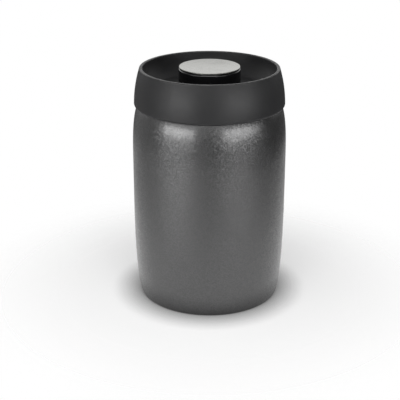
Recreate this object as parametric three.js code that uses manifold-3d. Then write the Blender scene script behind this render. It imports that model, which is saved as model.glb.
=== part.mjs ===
// Coffee canister: a steel body, and a lid whose knob presses a vent valve open.
// Millimetres, +Z up. The origin is under the middle of the base, on the surface it stands on.

import * as THREE from 'three';
import { mergeVertices } from 'three/addons/utils/BufferGeometryUtils.js';
import Module from 'manifold-3d';

const wasm = await Module();
wasm.setup();

// Clearances that all pieces share
const fitGap = 0.3; // between pieces that sit in or on each other
const slideGap = 0.6; // round the knob, which slides in its collar
const overrun = 1; // how far a cutter runs past what it cuts
const weldDistance = 1e-4;

// Steel body
const bodyRadius = 55;
const steelWall = 0.8;
const footDepth = 5.4; // how much slimmer the foot is than the side, on the radius
const footHeight = 71.6; // height over which the side draws in to the foot
const footFullness = 2.19; // 2 is a plain ellipse, more is squarer
const footWidth = 4.4; // flat ring that the body stands on
const baseRise = 2.6; // the base is pressed up inside the foot ring
const baseRiseRun = 3.4;
const shoulderStart = 106.2;
const shoulderHeight = 41.2;
const shoulderShare = 0.1732; // how much slimmer the neck is, of the body's radius
const shoulderFullness = 2.63;
const neckFillet = 1.2;
const neckHeight = 2.9;
const lipRadius = 1.2; // rolled edge of the mouth

// Lid cover
const lidInset = 1.4; // the lid is this much slimmer than the body, on the radius
const lidGap = 0.8; // shadow gap between skirt and shoulder
const skirtWall = 1.8;
const skirtCorner = 2.2;
const lidTaper = 4.2; // the skirt leans in this much on its way to the rim
const rimWidth = 2.4;
const rimEdge = 0.6;
const dishWall = 2;
const dishDepth = 14.6;
const dishSink = 0.4; // the dish's underside lies this far below the liner's flange
const dishFlatInset = 4.2; // the flat of the dish ends this far inside the liner's wall
const collarWall = 1.6;
const collarLength = 5.2; // below the floor of the dish
const bossRadius = 3.2;
const boreCover = 1.3; // material left over a boss's bore

// Lid liner, the plug that closes the mouth
const linerWall = 1.6;
const gasketSpace = 2.9; // from the neck's bore to the bottom of the gasket's groove
const grooveHeight = 6.2;
const flangeThickness = 1.3;
const retainerThickness = 1.4;
const retainerGap = 1.1;
const airSpace = 4.6; // between liner plate and dish
const wellGap = 1.4; // round the knob's skirt in the liner's well
const cupRadius = 14.2;
const cupDepth = 7.2;
const portRadius = 1.2;
const portPitchRadius = 9;
const seatInner = 10.8;
const seatWidth = 1.2;
const seatHeight = 0.8;
const snapDepth = 0.5; // groove that the filter cap snaps into
const snapDrop = 3; // from the cap's top edge to the middle of its bead

// Gasket with two lips
const gasketBody = 1.1;
const gasketLipThickness = 0.8;
const gasketLipRise = 0.9; // how far a lip's tip points up from its root
const upperLipDrop = 1.3; // from the gasket's top to the root of each lip
const lowerLipDrop = 3.4;

// Knob
const knobShare = 0.3982; // the knob's radius, of the body's
const knobRise = 0.6; // the knob's top stands this much above the rim
const knobHeight = 19.6;
const knobWall = 1.6;
const knobTopWall = 2;
const knobEdge = 1;
const knobFootEdge = 0.4;
const discThickness = 2;
const discFlange = 0.9; // thickness of the part that shows above the knob's shoulder
const discInset = 0.4; // the disc is this much smaller than the knob
const discRecess = 2.4; // from the knob's side to the recess that takes the disc
const discEdge = 0.7;
const discHollow = 0.25; // the disc's top is very slightly dished
const knobBossRadius = 5.5;
const knobBossLength = 9.5;
const knobWebThickness = 1.5;
const knobWebDepth = 5; // from the disc's seat down to the web under the screw's head
const pressTravel = 4;
const pressClearance = 0.5; // left under the knob and the valve when pressed

// Valve stem, bush, disc and washer
const stemRadius = 3;
const stemFlangeRadius = 8.2;
const stemFlangeThickness = 1.5;
const stemBoreDepth = 7;
const bushWall = 1.3;
const bushFlangeRadius = 6;
const bushFlangeThickness = 1;
const bushLength = 5.6;
const washerThickness = 1.6;
const washerMargin = 0.8; // beyond the seat
const valveDiscThickness = 3;
const valveDiscInset = 0.6; // the disc is this much smaller than the washer
const valveDiscEdge = 0.6;

// Valve spring
const wireRadius = 0.5;
const springRadius = 7; // to the middle of the wire
const springTurns = 6;
const springSteps = 8;
const springSides = 5;

// One-way degassing valve, an umbrella of silicone in the liner's plate
const umbrellaRadius = 5.2;
const umbrellaHeight = 1.6;
const umbrellaEdge = 0.6;
const umbrellaHollow = 0.5;
const umbrellaStemRadius = 1.3;
const umbrellaBarbRadius = 2.1;
const umbrellaBarbHeight = 1.7;
const umbrellaTipHeight = 2.4;
const umbrellaTipRadius = 0.8;
const ventRadius = 0.8;
const ventPitchRadius = 3.3;

// Filter under the valve
const capWall = 1.2;
const capEdge = 0.5;
const screenThickness = 0.4;
const capHoleRadius = 1.3;
const capHolePitch = 5.2;
const screenHoleRadius = 1;
const screenHolePitch = 6;

// Screws
const screwRadius = 1.4;
const screwHeadRadius = 2.7;
const screwHeadHeight = 1.7;
const screwHeadEdge = 0.6;
const screwTip = 0.8;
const socketRadius = 1.2;
const socketDepth = 0.9;
const screwEndGap = 0.5; // between a screw's tip and the end of its bore

// Counts
const lidScrewCount = 4;
const portCount = 6;
const ventCount = 5;
const bodySegments = 48;
const linerSegments = 32;
const knobSegments = 32;
const valveSegments = 16;
const smallSegments = 10;
const holeSegments = 6;

// Places that follow from the sizes, from the body up to the rim
const shoulderDepth = bodyRadius * shoulderShare;
const knobRadius = bodyRadius * knobShare;
const neckRadius = bodyRadius - shoulderDepth;
const neckBore = neckRadius - steelWall;
const shoulderTop = shoulderHeightAt(neckRadius + neckFillet);
const lipCentreRadius = neckBore + lipRadius;
const lipCentre = shoulderTop + neckHeight;
const lipTop = lipCentre + lipRadius;
const flangeBottom = lipTop + fitGap;
const flangeTop = flangeBottom + flangeThickness;
const dishUnder = flangeTop - dishSink;
const dishFloor = dishUnder + dishWall;
const rimTop = dishFloor + dishDepth;

// Lid outline
const lidRadius = bodyRadius - lidInset;
const skirtInner = lidRadius - skirtWall;
const lidBottom = shoulderHeightAt(skirtInner) + lidGap;
const plugRadius = neckBore - gasketSpace;
const linerInner = plugRadius - linerWall;
const dishFlatRadius = linerInner - dishFlatInset;
const collarRadius = knobRadius + slideGap;

// Liner levels
const grooveBottom = flangeBottom - grooveHeight;
const plateTop = dishUnder - airSpace;
const plateBottom = plateTop - linerWall;
const wellRadius = knobRadius + wellGap;
const wellOuter = wellRadius + linerWall;
const bossPitchRadius = (wellOuter + linerInner) / 2; // midway between the liner's two walls
const knobTop = rimTop + knobRise;
const knobBottom = knobTop - knobHeight;
const stepTop = knobBottom - pressTravel - pressClearance;
const stepBottom = stepTop - linerWall;
const cupFloor = stepTop - cupDepth;
const cupBottom = cupFloor - linerWall;
const cupOuter = cupRadius + linerWall;

// Knob, stem and valve levels
const discSeat = knobTop - discThickness;
const discUnder = knobTop - discFlange;
const knobShoulder = discUnder - fitGap;
const knobUnder = discSeat - knobTopWall;
const stemFlangeTop = knobUnder - knobBossLength;
const stemFlangeBottom = stemFlangeTop - stemFlangeThickness;
const webTop = discSeat - knobWebDepth;
const webBottom = webTop - knobWebThickness;
const stemTop = webBottom - fitGap;
const washerTop = cupBottom - seatHeight - fitGap;
const valveDiscTop = washerTop - washerThickness;
const valveDiscBottom = valveDiscTop - valveDiscThickness;
const washerRadius = seatInner + seatWidth + washerMargin;
const valveDiscRadius = washerRadius - valveDiscInset;
const screwBore = screwRadius + fitGap;
const screwHeadBore = screwHeadRadius + fitGap;

// Filter levels
const screenTop = valveDiscBottom - pressTravel - pressClearance;
const capFloor = screenTop - screenThickness;
const capBottom = capFloor - capWall;
const capTop = stepBottom - fitGap;
const capInner = cupOuter + fitGap;
const capOuter = capInner + capWall;
const snapCentre = capTop - snapDrop;

// The shoulder is a quarter of a superellipse: this gives its height where its radius is r.
function shoulderHeightAt(r) {
  const across = 1 - (bodyRadius - r) / shoulderDepth;
  return shoulderStart + shoulderHeight * (1 - across ** shoulderFullness) ** (1 / shoulderFullness);
}

// Points of a round stretch of an outline, from one angle to another in degrees.
function arc(centreRadius, centreHeight, radius, from, to, steps) {
  return Array.from({ length: steps + 1 }, (_, i) => {
    const angle = THREE.MathUtils.degToRad(from + ((to - from) * i) / steps);
    return [centreRadius + radius * Math.cos(angle), centreHeight + radius * Math.sin(angle)];
  });
}

// A quarter superellipse from an upright side inwards, as radius and distance along the side.
// It is cut off where "left" of its depth is still to go.
function drawnIn(radius, depth, length, fullness, left, steps) {
  const last = Math.acos((left / depth) ** (fullness / 2));
  return Array.from({ length: steps + 1 }, (_, i) => {
    const angle = (last * i) / steps;
    const across = Math.cos(angle) ** (2 / fullness);
    const along = Math.sin(angle) ** (2 / fullness);
    return [radius - depth + depth * across, length * along];
  });
}

// The shoulder draws the side in to the neck, thinned by the wall for its inner face.
function shoulder(inset, steps) {
  const side = bodyRadius - inset;
  const height = shoulderHeight - inset;
  const curve = drawnIn(side, shoulderDepth, height, shoulderFullness, neckFillet, steps);
  return curve.map(([r, up]) => [r, shoulderStart + up]);
}

// The foot draws the side in to the flat ring, from the bottom up.
function foot(inset, steps) {
  const curve = drawnIn(bodyRadius - inset, footDepth, footHeight - inset, footFullness, 0, steps);
  return curve.map(([r, down]) => [r, footHeight - down]).reverse();
}

// Closed solid from any closed three.js geometry: its vertices are merged and slivers dropped.
function solidOf(geometry) {
  const bare = geometry.clone();
  bare.deleteAttribute('normal');
  bare.deleteAttribute('uv');
  const merged = mergeVertices(bare, weldDistance);
  const corners = merged.index.array;
  const kept = [];
  for (let i = 0; i < corners.length; i += 3) {
    const [a, b, c] = corners.slice(i, i + 3);
    if (a !== b && b !== c && c !== a) kept.push(a, b, c);
  }
  const vertProperties = merged.attributes.position.array;
  const triVerts = new Uint32Array(kept);
  return new wasm.Manifold(new wasm.Mesh({ numProp: 3, vertProperties, triVerts }));
}

// Solid of revolution about Z from an outline of [radius, height], run round anticlockwise.
function turned(outline, segments) {
  const points = outline.map(([r, z]) => new THREE.Vector2(r, z));
  return solidOf(new THREE.LatheGeometry(points, segments).rotateX(Math.PI / 2));
}

// Ring-shaped outlines close on themselves.
function ring(outline, segments) {
  return turned([...outline, outline[0]], segments);
}

// Round bar between two heights, standing at a place in plan.
function bar(radius, bottom, top, segments, x = 0, y = 0) {
  const cylinder = new THREE.CylinderGeometry(radius, radius, top - bottom, segments);
  return solidOf(cylinder.rotateX(Math.PI / 2).translate(x, y, (top + bottom) / 2));
}

// Evenly spaced places on a circle, the first at a given angle in degrees.
function placesOnCircle(count, radius, first = 0, x = 0, y = 0) {
  return Array.from({ length: count }, (_, i) => {
    const angle = THREE.MathUtils.degToRad(first + (360 * i) / count);
    return [x + radius * Math.cos(angle), y + radius * Math.sin(angle)];
  });
}

// Holes in rings round a middle one: 1, 6, 12, 18 and so on.
function holePattern(pitch, reach) {
  const rings = Math.floor(reach / pitch);
  const outer = Array.from({ length: rings }, (_, i) => placesOnCircle(6 * (i + 1), pitch * (i + 1)));
  return [[0, 0], ...outer.flat()];
}

function drilled(solid, places, radius, bottom, top, segments = smallSegments) {
  const cutters = places.map(([x, y]) => bar(radius, bottom - overrun, top + overrun, segments, x, y));
  return cutters.reduce((left, cutter) => left.subtract(cutter), solid);
}

function piece(name, solid, material) {
  const { numProp, vertProperties, triVerts } = solid.getMesh();
  const geometry = new THREE.BufferGeometry();
  geometry.setAttribute('position', new THREE.BufferAttribute(vertProperties, numProp));
  geometry.setIndex(new THREE.BufferAttribute(triVerts, 1));
  geometry.computeVertexNormals();
  const mesh = new THREE.Mesh(geometry, material);
  mesh.name = name;
  return mesh;
}

function finish(color, roughness, metalness = 0) {
  return new THREE.MeshStandardMaterial({ color, roughness, metalness });
}

const powderCoat = finish(0x66676a, 0.5, 0.55);
const blackPlastic = finish(0x2c2c2e, 0.5);
const glossBlack = finish(0x141316, 0.15);
const satinGrey = finish(0xb4b4ae, 0.35, 0.6);
const darkLiner = finish(0x333335, 0.45);
const silicone = finish(0xd9d9d6, 0.6);
const bareSteel = finish(0xb9babd, 0.3, 1);
const acetal = finish(0xe9e7e0, 0.4);

// Body: pressed-up base, foot ring, side that draws in at the foot, shoulder, neck, rolled lip.
function canisterShell() {
  const footOuter = bodyRadius - footDepth;
  const footInner = footOuter - footWidth;
  const filletCentre = [neckRadius + neckFillet, shoulderTop + neckFillet];
  const lipStart = -THREE.MathUtils.radToDeg(Math.acos((steelWall - lipRadius) / lipRadius));
  const outside = [
    [0, baseRise],
    [footInner - baseRiseRun, baseRise],
    [footInner, 0],
    ...foot(0, 8),
    ...shoulder(0, 7),
    ...arc(...filletCentre, neckFillet, 270, 180, 2),
    ...arc(lipCentreRadius, lipCentre, lipRadius, lipStart, 180, 5),
  ];
  const inside = [
    ...arc(...filletCentre, neckFillet + steelWall, 180, 270, 2),
    ...shoulder(steelWall, 5).reverse(),
    ...foot(steelWall, 5).reverse(),
    [footInner, steelWall],
    [footInner - baseRiseRun, baseRise + steelWall],
    [0, baseRise + steelWall],
  ];
  return turned([...outside, ...inside], bodySegments);
}

// Radius of the lid's outer side, a parabola from the skirt's bottom to its rim.
function skirtRadiusAt(z) {
  const up = (z - lidBottom) / (rimTop - lidBottom);
  return lidRadius - lidTaper * up ** 2;
}

// Height of the dish's surface, a quarter ellipse from the flat floor up to the rim.
function dishArc(run, rise, steps) {
  return Array.from({ length: steps + 1 }, (_, i) => {
    const angle = (Math.PI / 2) * (i / steps);
    return [run * Math.sin(angle), rise * (1 - Math.cos(angle))];
  });
}

// Lid cover: skirt, rolled rim, deep dish and the collar that guides the knob, with screw bosses.
function lidCover() {
  const rimBase = rimTop - rimEdge;
  const underTop = rimTop - 2 * rimWidth;
  const outside = Array.from({ length: 5 }, (_, i) => {
    const z = THREE.MathUtils.lerp(lidBottom + skirtCorner, rimBase, i / 4);
    return [skirtRadiusAt(z), z];
  });
  const rimOuter = skirtRadiusAt(rimBase);
  const rimInner = rimOuter - rimWidth;
  const dish = dishArc(rimInner - dishFlatRadius, rimBase - dishFloor, 6);
  const underRun = skirtRadiusAt(underTop) - skirtWall - dishFlatRadius;
  const under = dishArc(underRun, underTop - dishUnder, 4);
  const collarBottom = dishFloor - collarLength;
  const collarOuter = collarRadius + collarWall;
  const skirtMiddle = (lidBottom + underTop) / 2;
  const outline = [
    [skirtInner, lidBottom],
    ...arc(lidRadius - skirtCorner, lidBottom + skirtCorner, skirtCorner, -90, 0, 3).slice(0, -1),
    ...outside,
    ...arc(rimOuter - rimEdge, rimBase, rimEdge, 0, 90, 2).slice(1),
    ...arc(rimInner + rimEdge, rimBase, rimEdge, 90, 180, 2),
    ...dish.slice(0, -1).reverse().map(([out, up]) => [dishFlatRadius + out, dishFloor + up]),
    [collarRadius, dishFloor],
    [collarRadius, collarBottom],
    [collarOuter, collarBottom],
    [collarOuter, dishUnder],
    ...under.map(([out, up]) => [dishFlatRadius + out, dishUnder + up]),
    [skirtRadiusAt(skirtMiddle) - skirtWall, skirtMiddle],
  ];
  const shell = ring(outline, bodySegments);
  const places = placesOnCircle(lidScrewCount, bossPitchRadius);
  const bosses = places.map(([x, y]) => {
    return bar(bossRadius, plateTop + fitGap, dishUnder + dishWall / 2, smallSegments, x, y);
  });
  const withBosses = bosses.reduce((left, boss) => left.add(boss), shell);
  return drilled(withBosses, places, screwBore, plateTop, dishFloor - boreCover - overrun);
}

// Lid liner: flange over the lip, gasket groove, plate, stepped well and valve seat.
function lidLiner() {
  const flangeRadius = lipCentreRadius + lipRadius;
  const retainerRadius = neckBore - retainerGap;
  const seatOuter = seatInner + seatWidth;
  const bushHole = stemRadius + fitGap + bushWall + fitGap;
  const outline = [
    [bushHole, cupBottom],
    [seatInner, cupBottom],
    [seatInner, cupBottom - seatHeight],
    [seatOuter, cupBottom - seatHeight],
    [seatOuter, cupBottom],
    [cupOuter, cupBottom],
    [cupOuter, snapCentre - 2 * snapDepth],
    [cupOuter - snapDepth, snapCentre],
    [cupOuter, snapCentre + 2 * snapDepth],
    [cupOuter, stepBottom],
    [wellOuter, stepBottom],
    [wellOuter, plateBottom],
    [linerInner, plateBottom],
    [linerInner, grooveBottom - retainerThickness],
    [retainerRadius, grooveBottom - retainerThickness],
    [retainerRadius, grooveBottom],
    [plugRadius, grooveBottom],
    [plugRadius, flangeBottom],
    [flangeRadius, flangeBottom],
    [flangeRadius, flangeTop],
    [linerInner, flangeTop],
    [linerInner, plateTop],
    [wellRadius, plateTop],
    [wellRadius, stepTop],
    [cupRadius, stepTop],
    [cupRadius, cupFloor],
    [bushHole, cupFloor],
  ];
  const [umbrella] = umbrellaPlaces();
  const turnedLiner = ring(outline, linerSegments);
  const screwPlaces = placesOnCircle(lidScrewCount, bossPitchRadius);
  const ports = placesOnCircle(portCount, portPitchRadius);
  const vents = placesOnCircle(ventCount, ventPitchRadius, 0, ...umbrella);
  const withScrewHoles = drilled(turnedLiner, screwPlaces, screwBore, plateBottom, plateTop);
  const withPorts = drilled(withScrewHoles, ports, portRadius, cupBottom, cupFloor);
  const withStemHole = drilled(withPorts, [umbrella], umbrellaStemRadius + fitGap, plateBottom, plateTop);
  return drilled(withStemHole, vents, ventRadius, plateBottom, plateTop, holeSegments);
}

// The degassing valve sits midway between two of the lid's screws.
function umbrellaPlaces() {
  return placesOnCircle(1, bossPitchRadius, 180 / lidScrewCount);
}

// Gasket: a sleeve in the liner's groove with two thin lips that lean up against the neck.
function lidGasket() {
  const inner = plugRadius + fitGap;
  const outer = inner + gasketBody;
  const tip = neckBore - fitGap;
  const top = flangeBottom - fitGap;
  const bottom = grooveBottom + fitGap;
  const lip = (drop) => {
    const root = top - drop;
    return [
      [outer, root - gasketLipThickness],
      [tip, root - gasketLipThickness / 2 + gasketLipRise],
      [tip, root + gasketLipRise],
      [outer, root],
    ];
  };
  return ring([[inner, bottom], [outer, bottom], ...lip(lowerLipDrop), ...lip(upperLipDrop),
    [outer, top], [inner, top]], linerSegments);
}

// Screw with its head's underside at zero, its head below and its shank pointing up.
function screw(length) {
  const headInner = screwHeadRadius - screwHeadEdge;
  return turned([
    [0, socketDepth - screwHeadHeight],
    [socketRadius, socketDepth - screwHeadHeight],
    [socketRadius, -screwHeadHeight],
    [headInner, -screwHeadHeight],
    [screwHeadRadius, screwHeadEdge - screwHeadHeight],
    [screwHeadRadius, 0],
    [screwRadius, 0],
    [screwRadius, length - screwTip],
    [0, length],
  ], smallSegments);
}

// Knob shell: skirt, top with a recess for the disc, and a boss that takes the stem.
function knobShell() {
  const recess = knobRadius - discRecess;
  return ring([
    [screwBore, webBottom],
    [stemRadius + fitGap, webBottom],
    [stemRadius + fitGap, stemFlangeTop],
    [knobBossRadius, stemFlangeTop],
    [knobBossRadius, knobUnder],
    [knobRadius - knobWall, knobUnder],
    [knobRadius - knobWall, knobBottom],
    [knobRadius - knobFootEdge, knobBottom],
    [knobRadius, knobBottom + knobFootEdge],
    ...arc(knobRadius - knobEdge, knobShoulder - knobEdge, knobEdge, 0, 90, 3),
    [recess, knobShoulder],
    [recess, discSeat],
    [screwHeadBore, discSeat],
    [screwHeadBore, webTop],
    [screwBore, webTop],
  ], knobSegments);
}

// Knob disc: a spigot in the knob's recess and a wider top with a rounded edge.
function knobDisc() {
  const radius = knobRadius - discInset;
  const spigot = knobRadius - discRecess - fitGap;
  const flat = radius - discEdge;
  return turned([
    [0, discSeat],
    [spigot, discSeat],
    [spigot, discUnder],
    [radius, discUnder],
    ...arc(flat, knobTop - discEdge, discEdge, 0, 90, 2),
    [flat / 2, knobTop - discHollow * (3 / 4)],
    [0, knobTop - discHollow],
  ], knobSegments);
}

function valveStem() {
  return turned([
    [0, valveDiscTop + stemBoreDepth],
    [screwBore, valveDiscTop + stemBoreDepth],
    [screwBore, valveDiscTop],
    [stemRadius, valveDiscTop],
    [stemRadius, stemFlangeBottom],
    [stemFlangeRadius, stemFlangeBottom],
    [stemFlangeRadius, stemFlangeTop],
    [stemRadius, stemFlangeTop],
    [stemRadius, stemTop],
    [screwBore, stemTop],
    [screwBore, stemTop - stemBoreDepth],
    [0, stemTop - stemBoreDepth],
  ], valveSegments);
}

// Guide bush for the stem, with a flange that lies on the cup's floor.
function stemBush() {
  const bore = stemRadius + fitGap;
  const outer = bore + bushWall;
  return ring([
    [bore, cupBottom],
    [outer, cupBottom],
    [outer, cupFloor],
    [bushFlangeRadius, cupFloor],
    [bushFlangeRadius, cupFloor + bushFlangeThickness],
    [outer, cupFloor + bushFlangeThickness],
    [outer, cupBottom + bushLength],
    [bore, cupBottom + bushLength],
  ], valveSegments);
}

function valveWasher() {
  const bore = stemRadius + fitGap;
  return ring([
    [bore, valveDiscTop],
    [washerRadius, valveDiscTop],
    [washerRadius, washerTop],
    [bore, washerTop],
  ], valveSegments);
}

// Valve disc, with a sunk seat for the screw that holds it to the stem.
function valveDisc() {
  const headSeat = valveDiscBottom + screwHeadHeight;
  return ring([
    [screwBore, headSeat],
    [screwHeadBore, headSeat],
    [screwHeadBore, valveDiscBottom],
    [valveDiscRadius - valveDiscEdge, valveDiscBottom],
    [valveDiscRadius, valveDiscBottom + valveDiscEdge],
    [valveDiscRadius, valveDiscTop],
    [screwBore, valveDiscTop],
  ], valveSegments);
}

// Middle line of the spring: a helix whose wire stays clear of the floor and of the stem's flange.
class Helix extends THREE.Curve {
  constructor(radius, bottom, top, turns) {
    super();
    Object.assign(this, { radius, bottom, top, turns });
  }

  getPoint(share, target = new THREE.Vector3()) {
    const angle = 2 * Math.PI * this.turns * share;
    const height = THREE.MathUtils.lerp(this.bottom, this.top, share);
    return target.set(this.radius * Math.cos(angle), this.radius * Math.sin(angle), height);
  }
}

function valveSpring() {
  const bottom = cupFloor + wireRadius + fitGap;
  const top = stemFlangeBottom - wireRadius - fitGap;
  const path = new Helix(springRadius, bottom, top, springTurns);
  const corners = placesOnCircle(springSides, wireRadius);
  const section = new THREE.Shape(corners.map(([x, y]) => new THREE.Vector2(x, y)));
  const steps = springTurns * springSteps;
  const wire = new THREE.ExtrudeGeometry(section, { steps, extrudePath: path, bevelEnabled: false });
  const gap = leastGap(path, steps, 2 * wireRadius);
  console.log('least gap between turns of the spring, mm:', gap.toFixed(2));
  return solidOf(wire);
}

// Least distance between points that are at least half a turn apart on a wire, less its thickness.
function leastGap(path, steps, thickness) {
  const points = path.getPoints(steps);
  const apart = springSteps / 2;
  const gaps = points.flatMap((a, i) => points.slice(i + apart).map((b) => a.distanceTo(b)));
  return Math.min(...gaps) - thickness;
}

// Umbrella valve: a thin dome over the vents, and a barbed stem through the plate.
function degassingValve() {
  const seat = plateTop + fitGap;
  const barbTop = plateBottom - fitGap;
  const dome = dishArc(umbrellaRadius, umbrellaHeight - umbrellaEdge, 4);
  return turned([
    [0, barbTop - umbrellaTipHeight],
    [umbrellaTipRadius, barbTop - umbrellaTipHeight],
    [umbrellaBarbRadius, barbTop - umbrellaBarbHeight / 2],
    [umbrellaBarbRadius, barbTop],
    [umbrellaStemRadius, barbTop],
    [umbrellaStemRadius, seat + umbrellaHollow],
    [umbrellaRadius - umbrellaEdge, seat + umbrellaHollow / 2],
    [umbrellaRadius - umbrellaEdge / 2, seat],
    [umbrellaRadius, seat],
    ...dome.slice(1).reverse().map(([out, up]) => [out, seat + umbrellaHeight - up]),
    [0, seat + umbrellaHeight],
  ], valveSegments);
}

// Filter cap: a deep cup that snaps over the valve's housing, with a pierced floor.
function filterCap() {
  const cup = turned([
    [0, capBottom],
    [capOuter - capEdge, capBottom],
    [capOuter, capBottom + capEdge],
    [capOuter, capTop],
    [capInner, capTop],
    [capInner, snapCentre + snapDepth],
    [capInner - snapDepth, snapCentre],
    [capInner, snapCentre - snapDepth],
    [capInner, capFloor],
    [0, capFloor],
  ], linerSegments);
  const reach = capInner - 2 * capHoleRadius;
  return drilled(cup, holePattern(capHolePitch, reach), capHoleRadius, capBottom, capFloor, holeSegments);
}

function filterScreen() {
  const radius = capInner - fitGap;
  const disc = bar(radius, capFloor, screenTop, valveSegments);
  const reach = radius - 2 * screenHoleRadius;
  const holes = holePattern(screenHolePitch, reach);
  return drilled(disc, holes, screenHoleRadius, capFloor, screenTop, holeSegments);
}

const canister = new THREE.Group();
canister.add(piece('canister_shell', canisterShell(), powderCoat));

const lid = new THREE.Group();
lid.add(piece('lid_cover', lidCover(), blackPlastic));
lid.add(piece('lid_liner', lidLiner(), darkLiner));
lid.add(piece('lid_gasket', lidGasket(), silicone));
lid.add(piece('stem_bush', stemBush(), acetal));
lid.add(piece('valve_spring', valveSpring(), bareSteel));
lid.add(piece('filter_cap', filterCap(), darkLiner));
lid.add(piece('filter_screen', filterScreen(), bareSteel));

const lidScrewLength = dishFloor - boreCover - screwEndGap - plateBottom;
placesOnCircle(lidScrewCount, bossPitchRadius).forEach(([x, y], i) => {
  const lidScrew = piece(`lid_screw_${i + 1}`, screw(lidScrewLength), bareSteel);
  lidScrew.position.set(x, y, plateBottom);
  lid.add(lidScrew);
});

const [[umbrellaX, umbrellaY]] = umbrellaPlaces();
const umbrella = piece('degassing_valve', degassingValve(), silicone);
umbrella.position.set(umbrellaX, umbrellaY, 0);
lid.add(umbrella);

const valve = new THREE.Group();
valve.add(piece('knob_shell', knobShell(), glossBlack));
valve.add(piece('knob_disc', knobDisc(), satinGrey));
valve.add(piece('valve_stem', valveStem(), acetal));
valve.add(piece('valve_washer', valveWasher(), silicone));
valve.add(piece('valve_disc', valveDisc(), darkLiner));

// The knob's screw points down into the stem, the valve's screw points up into it.
const knobScrewLength = webTop - stemTop + stemBoreDepth - screwEndGap;
const knobScrew = piece('knob_screw', screw(knobScrewLength), bareSteel);
knobScrew.rotation.x = Math.PI;
knobScrew.position.z = webTop;
valve.add(knobScrew);

const valveScrewSeat = valveDiscBottom + screwHeadHeight;
const valveScrewLength = valveDiscTop + stemBoreDepth - screwEndGap - valveScrewSeat;
const valveScrew = piece('valve_screw', screw(valveScrewLength), bareSteel);
valveScrew.position.z = valveScrewSeat;
valve.add(valveScrew);

lid.add(valve);

const group = new THREE.Group();
group.name = 'coffee_canister';
group.add(canister, lid);

export default group;
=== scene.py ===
"""Coffee canister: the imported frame, dressed with smooth turned pieces, threads, springs and finishes."""

import math

import bpy
import numpy as np
from mathutils import Matrix, Vector

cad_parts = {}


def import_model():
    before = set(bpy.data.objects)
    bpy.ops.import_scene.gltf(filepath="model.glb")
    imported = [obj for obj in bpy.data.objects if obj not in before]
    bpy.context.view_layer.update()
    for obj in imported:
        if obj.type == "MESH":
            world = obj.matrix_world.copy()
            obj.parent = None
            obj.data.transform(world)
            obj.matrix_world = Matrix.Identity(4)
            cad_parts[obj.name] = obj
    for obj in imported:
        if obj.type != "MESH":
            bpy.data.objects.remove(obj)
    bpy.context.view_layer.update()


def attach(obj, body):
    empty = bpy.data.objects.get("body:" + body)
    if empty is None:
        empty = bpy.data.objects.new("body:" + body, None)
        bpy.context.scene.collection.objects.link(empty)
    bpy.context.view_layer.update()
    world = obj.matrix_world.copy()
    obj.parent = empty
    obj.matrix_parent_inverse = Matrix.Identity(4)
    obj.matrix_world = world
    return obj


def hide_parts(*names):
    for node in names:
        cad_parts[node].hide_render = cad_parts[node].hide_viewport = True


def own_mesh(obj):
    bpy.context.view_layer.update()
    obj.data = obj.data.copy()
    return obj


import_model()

MM = 0.001

# Sizes are in millimetres

# Shared clearances and counts
FIT = 0.3
SIDES, CAP_SIDES, RING_SIDES, SMALL_SIDES = 160, 128, 96, 64
ARC_STEPS = 6
SUPPORT = 0.15  # extra rings this far from a rounded corner keep the flats flat
WELD = 1e-5  # points closer than this become one
PAST = 1  # how far a cutter or a boss runs past the face it meets

# Steel body
BODY_RADIUS = 55.0
STEEL = 0.8
FOOT_DEPTH, FOOT_HEIGHT, FOOT_FULLNESS, FOOT_WIDTH = 5.4, 71.6, 2.19, 4.4
BASE_RISE, BASE_RUN, BASE_CORNER, FOOT_CORNER = 2.6, 3.4, 1.6, 1.2
SHOULDER_START, SHOULDER_HEIGHT, SHOULDER_FULLNESS = 106.2, 41.2, 2.63
SHOULDER_DEPTH = BODY_RADIUS * 0.1732
NECK_FILLET, NECK_HEIGHT, LIP = 1.2, 2.9, 1.2

# Lid cover
LID_RADIUS = BODY_RADIUS - 1.4
SKIRT_WALL, SKIRT_CORNER, LID_TAPER, LID_GAP = 1.8, 2.2, 4.2, 0.8
RIM_WIDTH, RIM_EDGE = 2.4, 0.6
DISH_WALL, DISH_DEPTH, DISH_SINK, DISH_INSET = 2.0, 14.6, 0.4, 4.2
COLLAR_GAP, COLLAR_WALL, COLLAR_LENGTH = 0.6, 1.6, 5.2
BOSS_RADIUS, BORE_COVER = 3.2, 1.3

# Liner and filter cap
LINER, LINER_FLANGE = 1.6, 1.3
PLUG_GAP, PLATE_DROP, WELL_GAP = 2.9, 4.6, 1.4
GROOVE_HEIGHT, RETAINER, RETAINER_GAP = 6.2, 1.4, 1.1
CUP_RADIUS, CUP_DEPTH = 14.2, 7.2
PORT_RADIUS, PORT_PITCH = 1.2, 9.0
SEAT_INNER, SEAT_WIDTH, SEAT_HEIGHT = 10.8, 1.2, 0.8
SNAP, SNAP_DROP = 0.5, 3.0
CAP_WALL, SCREEN = 1.2, 0.4

# Knob, stem and valve
KNOB_RADIUS, KNOB_RISE, KNOB_HEIGHT = BODY_RADIUS * 0.3982, 0.6, 19.6
KNOB_WALL, KNOB_TOP_WALL, KNOB_EDGE = 1.6, 2.0, 1.0
KNOB_BOSS, KNOB_BOSS_LENGTH, WEB_DEPTH, WEB = 5.5, 9.5, 5.0, 1.5
DISC, DISC_FLANGE, DISC_INSET, DISC_RECESS = 2.0, 0.9, 0.4, 2.4
DISC_EDGE, DISC_HOLLOW = 0.3, 0.6
PRESS, PRESS_SPARE = 4.0, 0.5
STEM, STEM_FLANGE, STEM_FLANGE_THICK, STEM_BORE = 3.0, 8.2, 1.5, 7
BUSH_WALL, BUSH_FLANGE, BUSH_FLANGE_THICK, BUSH_HEIGHT = 1.3, 6, 1, 5.6
WASHER, WASHER_OVER, VALVE_DISC, VALVE_INSET = 1.6, 0.8, 3.0, 0.6
WIRE, SPRING, TURNS = 0.5, 7.0, 7.0
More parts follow.
